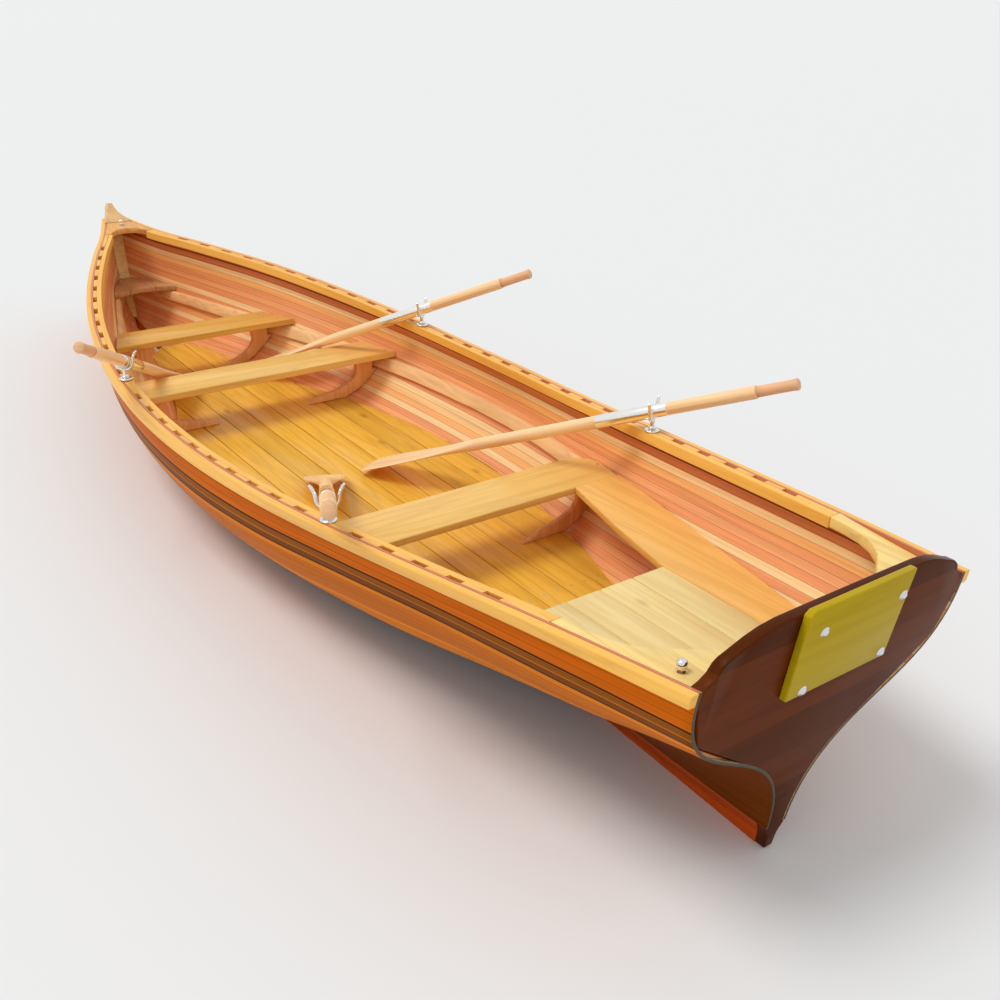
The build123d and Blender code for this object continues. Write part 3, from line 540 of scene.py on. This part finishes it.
def hull_shell(side, step, strip):
    """Closed shell of one side's planking, with its strips running with the sheer."""
    secs = [Station(STERN)] + stations(TRANSOM_FORE, BOW, step)
    rows = int(max(s.girth[-1] for s in secs) / strip) + 2
    bm = bmesh.new()
    uv = bm.loops.layers.uv.new("strips")
    grids = []
    for inward in (0.0, PLANK):
        grid = []
        for s in secs:
            total = s.girth[-1]
            line = []
            for j in range(rows + 1):
                g = min(j * strip, total)
                p = s.at(g, inward)
                line.append((bm.verts.new((p.x, p.y * side, p.z)), p.x, g))
            grid.append(line)
        grids.append(grid)

    def face(corners, mat, forward):
        if not forward:
            corners = corners[::-1]
        f = bm.faces.new([c[0] for c in corners])
        f.material_index = mat
        f.smooth = True
        for loop, c in zip(f.loops, corners):
            loop[uv].uv = (c[1], c[2])

    out, inn = grids
    n = len(secs)
    for i in range(n - 1):
        for j in range(rows):
            for grid, mat, forward in ((out, OUTSIDE, side < 0), (inn, INSIDE, side > 0)):
                face((grid[i][j], grid[i + 1][j], grid[i + 1][j + 1], grid[i][j + 1]), mat, forward)
        for j, forward in ((0, side > 0), (rows, side < 0)):
            face((out[i][j], out[i + 1][j], inn[i + 1][j], inn[i][j]), EDGE, forward)
    for i, forward in ((0, side > 0), (n - 1, side < 0)):
        for j in range(rows):
            face((out[i][j], inn[i][j], inn[i][j + 1], out[i][j + 1]), ENDS, forward)
    bmesh.ops.remove_doubles(bm, verts=bm.verts, dist=0.00002)
    bmesh.ops.dissolve_degenerate(bm, dist=0.00001, edges=bm.edges)
    bmesh.ops.recalc_face_normals(bm, faces=bm.faces)
    mesh = bpy.data.meshes.new("planking")
    bm.to_mesh(mesh)
    bm.free()
    return mesh


class ROWBOAT_OT_planking(bpy.types.Operator):
    """Lays the glued strips of both sides"""
    bl_idname = "rowboat.planking"
    bl_label = "Planking"

    def execute(self, context):
        p = context.scene.rowboat_hull
        outside = planking("varnished_cedar_outside", OUTSIDE_TONES, OUTSIDE_BANDS, p.strip,
                           gloss=0.0, sheen=0.02)
        inside = planking("varnished_cedar_inside", INSIDE_TONES, INSIDE_BANDS, p.strip)
        edge = plain("plank_edge", srgb(218, 122, 84), 0.3)
        ends = plain("sealed_plank_ends", srgb(60, 52, 18), 0.4)
        for name, side in (("port", 1), ("starboard", -1)):
            mesh = hull_shell(side, p.station, p.strip)
            bands = [band + "_" + name for band in BANDS_A_SIDE]
            obj = new_object("strip_planking_" + name, mesh, "hull", *bands)
            for m in (outside, inside, edge, ends):
                obj.data.materials.append(m)
        return {"FINISHED"}


def swept(name, rows):
    """Closed mesh through loops of points, with the grain map along it."""
    bm = bmesh.new()
    uv = bm.loops.layers.uv.new("grain")
    verts = [[bm.verts.new(p) for p in row] for row in rows]
    n = len(rows[0])
    along = [0.0]
    for a, b in zip(rows, rows[1:]):
        along.append(along[-1] + (Vector(b[0]) - Vector(a[0])).length)
    middle = [Vector(p) for p in rows[len(rows) // 2]]
    around = [0.0]
    for k in range(n):
        around.append(around[-1] + (middle[(k + 1) % n] - middle[k]).length)
    for i in range(len(rows) - 1):
        for k in range(n):
            m = (k + 1) % n
            f = bm.faces.new((verts[i][k], verts[i][m], verts[i + 1][m], verts[i + 1][k]))
            for loop, place in zip(f.loops, ((i, k), (i, k + 1), (i + 1, k + 1), (i + 1, k))):
                loop[uv].uv = (along[place[0]], around[place[1]])
    for row in (verts[0], verts[-1]):
        f = bm.faces.new(row)
        for loop in f.loops:
            loop[uv].uv = (loop.vert.co.y, loop.vert.co.z)
    bmesh.ops.recalc_face_normals(bm, faces=bm.faces)
    mesh = bpy.data.meshes.new(name)
    bm.to_mesh(mesh)
    bm.free()
    return mesh


def turned(profile, turn, sides=32):
    """Loops of a turned piece, from rows of radius and height up the axis of a matrix."""
    angles = [2 * math.pi * k / sides for k in range(sides)]
    ring = [(math.cos(a), math.sin(a)) for a in angles]
    return [[turn @ Vector((r * c, r * q, h)) for c, q in ring] for r, h in profile]


def joined(name, meshes):
    """One mesh of several."""
    bm = bmesh.new()
    for m in meshes:
        bm.from_mesh(m)
    mesh = bpy.data.meshes.new(name)
    bm.to_mesh(mesh)
    bm.free()
    return mesh


def finish(obj, material):
    """Dresses a new piece."""
    dress(obj, material)


class ROWBOAT_OT_rails(bpy.types.Operator):
    """Bends the outwales and inwales round the sheer"""
    bl_idname = "rowboat.rails"
    bl_label = "Rails"

    def execute(self, context):
        step = context.scene.rowboat_hull.station
        edge = context.scene.rowboat_hull.edge
        colour = tuple(context.scene.rowboat_colours.ash)
        ash = wood("varnished_ash_rail", colour, "UV", 0.16, 8.0, gloss=0.06, sheen=0.2)
        out, inn = [], []
        for side in (1, -1):
            rows = []
            for st in stations(*OUTWALE_RUN, step):
                a, b = st.at(0.0), st.at(st.girth_down(GUNWALE_DEEP))
                corners = (
                    (b, OUTWALE_WIDE - WALE_BEVEL, 0.0),
                    (b, OUTWALE_WIDE, WALE_FOOT),
                    (a, OUTWALE_WIDE, -WALE_BEVEL),
                    (a, OUTWALE_WIDE - WALE_BEVEL, 0.0),
                )
                loop = [a, b]
                for p, across, up in corners:
                    loop.append(Vector((lean(st.u, p.z + up), p.y + across, p.z + up)))
                rows.append([(p.x, p.y * side, p.z) for p in loop])
            out.append(swept("outwale", rows))
            rows = []
            for st in stations(*INWALE_RUN, step):
                a, b = st.at(0.0, PLANK), st.at(st.girth_down(GUNWALE_DEEP), PLANK)
                near, far = SPACER_WIDE, SPACER_WIDE + INWALE_WIDE
                corners = ((a, near), (b, near), (b, far), (a, far))
                rows.append([(p.x, (p.y - w) * side, p.z) for p, w in corners])
            inn.append(swept("inwale", rows))
        for name, meshes in (("outwales", out), ("inwales", inn)):
            obj = new_object("bent_" + name, joined(name, meshes), "hull", name)
            finish(obj, ash)
            round_edges(obj, edge * RAIL_ROUNDING)
        dress(NODES["gunwale_blocks"], wood("varnished_ash_block", colour, "X", 0.22, 9.0))
        round_edges(NODES["gunwale_blocks"], BLOCK_ROUNDING)
        return {"FINISHED"}


class ROWBOAT_OT_structure(bpy.types.Operator):
    """Finishes the keel, stem, transom and knees"""
    bl_idname = "rowboat.structure"
    bl_label = "Backbone and knees"

    def execute(self, context):
        reddish = tuple(context.scene.rowboat_colours.mahogany)
        hook = wood("varnished_breasthook", srgb(232, 170, 92), "X", 0.2, 9.0)
        pale = wood("varnished_ash_knee", srgb(248, 212, 130), "X", 0.22, 9.0)
        head = wood("varnished_stem_head", srgb(228, 182, 124), "X", 0.2, 9.0)
        stem = wood("varnished_stem", srgb(206, 122, 40), "Z", 0.3, 9.0, gloss=0.0, sheen=0.08)
        mahogany = wood("varnished_mahogany", reddish, "Y", 0.25, 8.0, gloss=0.0, planks=0.118, sheen=0.06)
        keel_red = wood("varnished_keel", srgb(184, 72, 14), "X", 0.4, 8.0, gloss=0.0, sheen=0.06)
        knee_brown = wood("varnished_knee", srgb(240, 176, 108), "Z", 0.2, 10.0)
        yellow = wood("motor_pad_board", srgb(184, 156, 14), "Y", 0.1, 8.0, gloss=0.0, sheen=0.08)
        looks = {
            # CAD node: wood, edge rounding
            "keel": (keel_red, 0.003),
            "skeg": (keel_red, 0.002),
            "stem": (stem, 0.004),
            "stem_head": (head, 0.004),
            "inner_stem": (pale, 0.002),
            "transom": (mahogany, 0.005),
            "motor_pad": (yellow, 0.004),
            "breasthook": (hook, 0.004),
            "quarter_knees": (pale, 0.008),
            "thwart_knees": (knee_brown, 0.005),
            "floor_bearers": (knee_brown, 0.001),
        }
        for node, (mat, width) in looks.items():
            dress(NODES[node], mat)
            round_edges(NODES[node], width)
        return {"FINISHED"}


class ROWBOAT_OT_seats(bpy.types.Operator):
    """Finishes the thwarts, benches, risers and floorboards"""
    bl_idname = "rowboat.seats"
    bl_label = "Seats and floor"

    def execute(self, context):
        c = context.scene.rowboat_colours
        edge = context.scene.rowboat_hull.edge
        cross = wood("varnished_pine_thwart", tuple(c.seat), "Y", 0.15, 10.0, knots=0.6)
        fore = wood("varnished_pine_fore_thwart", srgb(228, 172, 78), "Y", 0.15, 10.0, knots=0.6)
        bench = wood("varnished_pine_bench", srgb(242, 184, 98), "X", 0.15, 10.0, knots=0.6)
        sheet = wood("varnished_pale_sheet", srgb(240, 214, 146), "X", 0.12, 10.0, knots=0.5, boards=0.08)
        floor = wood("varnished_pine_floor", tuple(c.pine), "X", 0.2, 10.0, knots=0.7, boards=0.18)
        riser = wood("varnished_riser", srgb(244, 194, 134), "X", 0.2, 9.0)
        bow = wood("varnished_bow_seat", srgb(206, 152, 102), "X", 0.2, 10.0, boards=0.12)
        looks = {
            "fore_thwart": fore, "mid_thwart": cross, "aft_thwart": cross, "side_benches": bench,
            "stern_sheet": sheet, "bow_seat": bow, "floorboards": floor, "seat_risers": riser,
        }
        for node, mat in looks.items():
            dress(NODES[node], mat)
            round_edges(NODES[node], edge if node != "floorboards" else FLOOR_ROUNDING)
        return {"FINISHED"}


def set_in(node, spots, radius, proud, name):
    """Round heads let into the top of a board, found by looking straight down on it."""
    meshes = []
    for x, y in spots:
        hit, place, _, _ = NODES[node].ray_cast(Vector((x, y, 1.0)), Vector((0, 0, -1)))
        if hit:
            rows = [(radius, -HEAD_SUNK), (radius, proud * 0.5), (radius * 0.8, proud)]
            meshes.append(swept(name, turned(rows, Matrix.Translation(place), HEAD_SIDES)))
    return meshes


class ROWBOAT_OT_fastenings(bpy.types.Operator):
    """Sets the floor screws, the seat plugs and the motor pad's bolts"""
    bl_idname = "rowboat.fastenings"
    bl_label = "Fastenings"

    def execute(self, context):
        steel = metal("screw_steel", (0.62, 0.60, 0.56, 1), 0.3)
        half = FLOOR_BOARDS // 2
        spots = []
        for x in FLOOR_SCREW_ROWS:
            for k in range(-half, half + 1):
                spots += [(x, k * FLOOR_PITCH + d) for d in (-SCREW_SPREAD, SCREW_SPREAD)]
        screws = set_in("floorboards", spots, SCREW_RADIUS, SCREW_PROUD, "screw")
        obj = new_object("floor_screws", joined("floor_screws", screws), "hull")
        finish(obj, steel)
        plug = wood("end_grain_plug", srgb(206, 150, 80), "X", 0.3, 20.0)
        plugs = []
        for node, places in THWART_PLUGS.items():
            spots = [(x, y * side) for x, y in places for side in (1, -1)]
            plugs += set_in(node, spots, PLUG_RADIUS, PLUG_PROUD, "plug")
        obj = new_object("seat_plugs", joined("seat_plugs", plugs), "hull")
        finish(obj, plug)
        bright = metal("bolt_steel", (0.72, 0.72, 0.74, 1), 0.2)
        aft = Vector((-1.0, 0.0, -TRANSOM_RAKE)).normalized()
        bolts = []
        for y, z in PAD_BOLTS:
            place = Vector((STERN + (TRANSOM_TOP - z) * TRANSOM_RAKE - PAD_THICK, y, z))
            turn = Matrix.Translation(place) @ aft.to_track_quat("Z", "Y").to_matrix().to_4x4()
            bolts.append(swept("bolt", turned(BOLT_ROWS, turn, BOLT_SIDES)))
        obj = new_object("pad_bolts", joined("pad_bolts", bolts), "hull")
        finish(obj, bright)
        return {"FINISHED"}


def on_side(point, side):
    """The point, or its mirror image to starboard."""
    return Vector((point[0], point[1] * side, point[2]))


def oar_axes(spec, side):
    """Matrix with its Z along the oar and its X level, the length from pivot to tip, and the direction."""
    p, q = on_side(spec["pivot"], side), on_side(spec["tip"], side)
    d = (q - p).normalized()
    across = Vector((-d.y, d.x, 0)).normalized()
    turn = Matrix((across, d.cross(across), d)).transposed().to_4x4()
    return Matrix.Translation(p) @ turn, (q - p).length, d


def pairs():
    """Name, spec and side of each oar."""
    for end, spec in (("aft", AFT_OAR), ("fore", FORE_OAR)):
        for side_name, side in (("port", 1), ("starboard", -1)):
            yield end + "_" + side_name, spec, side


def horn_loops(heading):
    """Loops round the open ring of an oarlock, from one horn's tip to the other."""
    angles = [math.radians(a) for a in range(-180, 1, HORN_STEP)]
    path = [(v, LOCK_RISE + w) for v, w in HORN_TIP]
    path += [(HORN_RING * math.cos(a), LOCK_RISE + HORN_RING * math.sin(a)) for a in angles]
    path += [(-v, w) for v, w in reversed(path[:len(HORN_TIP)])]
    rows = []
    for k, (v, w) in enumerate(path):
        a, b = path[max(k - 1, 0)], path[min(k + 1, len(path) - 1)]
        run = math.dist(a, b)
        nv, nw = (a[1] - b[1]) / run, (b[0] - a[0]) / run
        thin = HORN_TAPER if k in (0, len(path) - 1) else 1.0
        loop = []
        for j in range(HORN_SIDES):
            q = 2 * math.pi * j / HORN_SIDES
            out = HORN_ACROSS * thin * math.sin(q)
            loop.append(heading @ Vector((HORN_ALONG * thin * math.cos(q), v + nv * out, w + nw * out)))
        rows.append(loop)
    return rows


class ROWBOAT_OT_fittings(bpy.types.Operator):
    """Casts the oarlocks, their flanged sockets and the rail knobs"""
    bl_idname = "rowboat.fittings"
    bl_label = "Bright fittings"

    def execute(self, context):
        chrome = metal("polished_chrome")
        sockets = []
        for name, spec, side in pairs():
            d = oar_axes(spec, side)[2]
            low = on_side(spec["pivot"], side) - Vector((0, 0, LOCK_RISE))
            stand = Matrix.Translation(low)
            heading = stand @ Matrix.Rotation(math.atan2(d.y, d.x), 4, "Z")
            sockets.append(swept("socket", turned(SOCKET_ROWS, stand)))
            pieces = [swept("collar", turned(COLLAR_ROWS, stand)), swept("horns", horn_loops(heading))]
            body = "oarlock_" + name
            obj = new_object("cast_oarlock_" + name, joined("oarlock", pieces), body, body)
            finish(obj, chrome)
            round_edges(obj, 0.001, 2, 50)
        obj = new_object("flanged_sockets", joined("sockets", sockets), "hull", "oarlock_sockets")
        finish(obj, chrome)
        knobs = []
        for (x, y, z, size), side in ((KNOB_BOW, 1), (KNOB_STERN, 1), (KNOB_STERN, -1)):
            rows = [(r * size, h * size) for r, h in KNOB_ROWS]
            knobs.append(swept("knob", turned(rows, Matrix.Translation((x, y * side, z)), KNOB_SIDES)))
        obj = new_object("turned_knobs", joined("knobs", knobs), "hull", "rail_knobs")
        finish(obj, chrome)
        return {"FINISHED"}


class ROWBOAT_OT_oars(bpy.types.Operator):
    """Turns the oars, with their grips, bright sleeves and blades"""
    bl_idname = "rowboat.oars"
    bl_label = "Oars"

    def execute(self, context):
        loom_wood = wood("varnished_oar_loom", tuple(context.scene.rowboat_colours.spruce), "UV", 0.2, 8.0)
        grip_wood = wood("bare_oar_grip", srgb(236, 184, 138), "UV", 0.12, 8.0, gloss=0.05, roughness=0.5)
        chrome = metal("polished_sleeve", (0.93, 0.92, 0.89, 1), 0.2)
        blade = sorted(BLADE_ROWS)
        sleeve_long = context.scene.rowboat_hull.sleeve
        sleeve = [(r, h - SLEEVE_BACK) for r, h in SLEEVE_END_ROWS]
        sleeve += [(r, sleeve_long - SLEEVE_BACK - h) for r, h in reversed(SLEEVE_END_ROWS)]
        for name, spec, side in pairs():
            turn, inboard, _ = oar_axes(spec, side)
            start = inboard - spec["length"]
            body = "oar_" + name
            looms = int((spec["length"] - LOOM_SPARE) / LOOM_STEP) + 1
            sizes = [(start + h, r, r) for r, h in SHOULDER_ROWS]
            sizes += [(start + LOOM_FROM + k * LOOM_STEP, LOOM_RADIUS, LOOM_RADIUS) for k in range(looms)]
            for k in range(BLADE_STEPS):
                back = BLADE_LONG * (1 - k / BLADE_STEPS) ** BLADE_EASE
                sizes.append((inboard - back, cubic(blade, back, 1), cubic(blade, back, 2)))
            sizes.append((inboard - BLADE_TIP[0], BLADE_TIP[1], BLADE_TIP[2]))
            rows = []
            for at, wide, thick in sizes:
                angles = [2 * math.pi * j / OAR_SIDES for j in range(OAR_SIDES)]
                rows.append([turn @ Vector((wide * math.cos(q), thick * math.sin(q), at)) for q in angles])
            obj = new_object("turned_oar_" + name, swept("oar", rows), body, body)
            finish(obj, loom_wood)
            grip = [(r, start + h) for r, h in GRIP_ROWS]
            obj = new_object("grip_" + name, swept("grip", turned(grip, turn)), body)
            finish(obj, grip_wood)
            obj = new_object("bright_sleeve_" + name, swept("sleeve", turned(sleeve, turn)), body)
            finish(obj, chrome)
        return {"FINISHED"}


def look_camera():
    """Sets the camera as the photograph's was, in the level frame of the part."""
    yaw, pitch, roll = CAMERA_YAW, CAMERA_PITCH, CAMERA_ROLL
    fwd = Vector((math.cos(yaw) * math.cos(pitch), math.sin(yaw) * math.cos(pitch), -math.sin(pitch)))
    right = Vector((math.sin(yaw), -math.cos(yaw), 0.0))
    up = right.cross(fwd)
    r2 = right * math.cos(roll) + up * math.sin(roll)
    u2 = right * -math.sin(roll) + up * math.cos(roll)
    turn = Matrix.Rotation(-LEVEL_TURN, 3, "Y")
    place = turn @ (Vector(CAMERA_PLACE) - Vector((LEVEL_SHIFT[0], 0, 0))) + Vector((0, 0, LEVEL_SHIFT[1]))
    axes = Matrix((turn @ r2, turn @ u2, -(turn @ fwd))).transposed()
    cam = bpy.data.cameras.new("photo_camera")
    cam.sensor_width = SENSOR_WIDE
    cam.lens = CAMERA_FOCAL * SENSOR_WIDE
    cam.clip_start, cam.clip_end = SEEN_FROM_TO
    obj = bpy.data.objects.new("photo_camera", cam)
    obj.matrix_world = Matrix.Translation(place) @ axes.to_4x4()
    bpy.context.scene.collection.objects.link(obj)
    bpy.context.scene.camera = obj


class ROWBOAT_OT_stage(bpy.types.Operator):
    """Sets the floor, the lights and the camera"""
    bl_idname = "rowboat.stage"
    bl_label = "Stage"

    def execute(self, context):
        st = context.scene.rowboat_stage
        slope = (BOW_WATER[1] - HEEL[1]) / (BOW_WATER[0] - HEEL[0])
        half = FLOOR_HALF
        square = ((-half, -half), (half, -half), (half, half), (-half, half))
        mesh = bpy.data.meshes.new("pale_floor")
        corners = [(x, y, HEEL[1] + slope * (x - HEEL[0]) - FLOOR_BELOW) for x, y in square]
        mesh.from_pydata(corners, [], [(0, 1, 2, 3)])
        floor = bpy.data.objects.new("pale_floor", mesh)
        context.scene.collection.objects.link(floor)
        mesh.materials.append(plain("pale_floor", tuple(st.floor_tone), 0.6))
        lamp = bpy.data.lights.new("soft_sun", "SUN")
        lamp.energy = st.sun
        lamp.angle = SUN_SPREAD
        sun = bpy.data.objects.new("soft_sun", lamp)
        sun.rotation_mode = "QUATERNION"
        sun.rotation_quaternion = Vector(SUN_FROM).to_track_quat("Z", "Y")
        context.scene.collection.objects.link(sun)
        world = bpy.data.worlds.new("pale_room")
        context.scene.world = world
        world.use_nodes = True
        tree = world.node_tree
        lighting = tree.nodes["Background"]
        lighting.inputs["Color"].default_value = ROOM_COLOUR
        lighting.inputs["Strength"].default_value = st.room
        backdrop = tree.nodes.new("ShaderNodeBackground")
        backdrop.inputs["Color"].default_value = BACKDROP
        path = tree.nodes.new("ShaderNodeLightPath")
        seen = tree.nodes.new("ShaderNodeMath")
        seen.operation = "MAXIMUM"
        tree.links.new(path.outputs["Is Camera Ray"], seen.inputs[0])
        shiny = tree.nodes.new("ShaderNodeMath")
        shiny.operation = "MAXIMUM"
        tree.links.new(path.outputs["Is Glossy Ray"], shiny.inputs[0])
        tree.links.new(path.outputs["Is Transmission Ray"], shiny.inputs[1])
        tree.links.new(shiny.outputs[0], seen.inputs[1])
        mix = tree.nodes.new("ShaderNodeMixShader")
        tree.links.new(seen.outputs[0], mix.inputs["Fac"])
        tree.links.new(lighting.outputs[0], mix.inputs[1])
        tree.links.new(backdrop.outputs[0], mix.inputs[2])
        tree.links.new(mix.outputs[0], tree.nodes["World Output"].inputs["Surface"])
        context.scene.view_settings.view_transform = "Standard"
        look_camera()
        return {"FINISHED"}


class ROWBOAT_PT_panel(bpy.types.Panel):
    """Lists the boat's sizes, colours and operators"""
    bl_label = "Rowing Boat"
    bl_idname = "ROWBOAT_PT_panel"
    bl_space_type = "VIEW_3D"
    bl_region_type = "UI"
    bl_category = "Rowing Boat"

    def draw(self, context):
        for group in (context.scene.rowboat_hull, context.scene.rowboat_colours, context.scene.rowboat_stage):
            for name in group.__annotations__:
                self.layout.prop(group, name)
        for op in OPERATORS:
            self.layout.operator(op.bl_idname)


GROUPS = (RowboatHull, RowboatColours, RowboatStage)
OPERATORS = (
    ROWBOAT_OT_planking, ROWBOAT_OT_rails, ROWBOAT_OT_structure, ROWBOAT_OT_seats,
    ROWBOAT_OT_fastenings, ROWBOAT_OT_fittings, ROWBOAT_OT_oars, ROWBOAT_OT_stage,
)


def register():
    for cls in GROUPS + OPERATORS + (ROWBOAT_PT_panel,):
        bpy.utils.register_class(cls)
    bpy.types.Scene.rowboat_hull = bpy.props.PointerProperty(type=RowboatHull)
    bpy.types.Scene.rowboat_colours = bpy.props.PointerProperty(type=RowboatColours)
    bpy.types.Scene.rowboat_stage = bpy.props.PointerProperty(type=RowboatStage)


def unregister():
    for name in ("rowboat_hull", "rowboat_colours", "rowboat_stage"):
        delattr(bpy.types.Scene, name)
    for cls in reversed(GROUPS + OPERATORS + (ROWBOAT_PT_panel,)):
        bpy.utils.unregister_class(cls)


def main():
    register()
    bpy.ops.rowboat.planking()
    bpy.ops.rowboat.rails()
    bpy.ops.rowboat.structure()
    bpy.ops.rowboat.seats()
    bpy.ops.rowboat.fastenings()
    bpy.ops.rowboat.fittings()
    bpy.ops.rowboat.oars()
    bpy.ops.rowboat.stage()


if __name__ == "__main__":
    main()
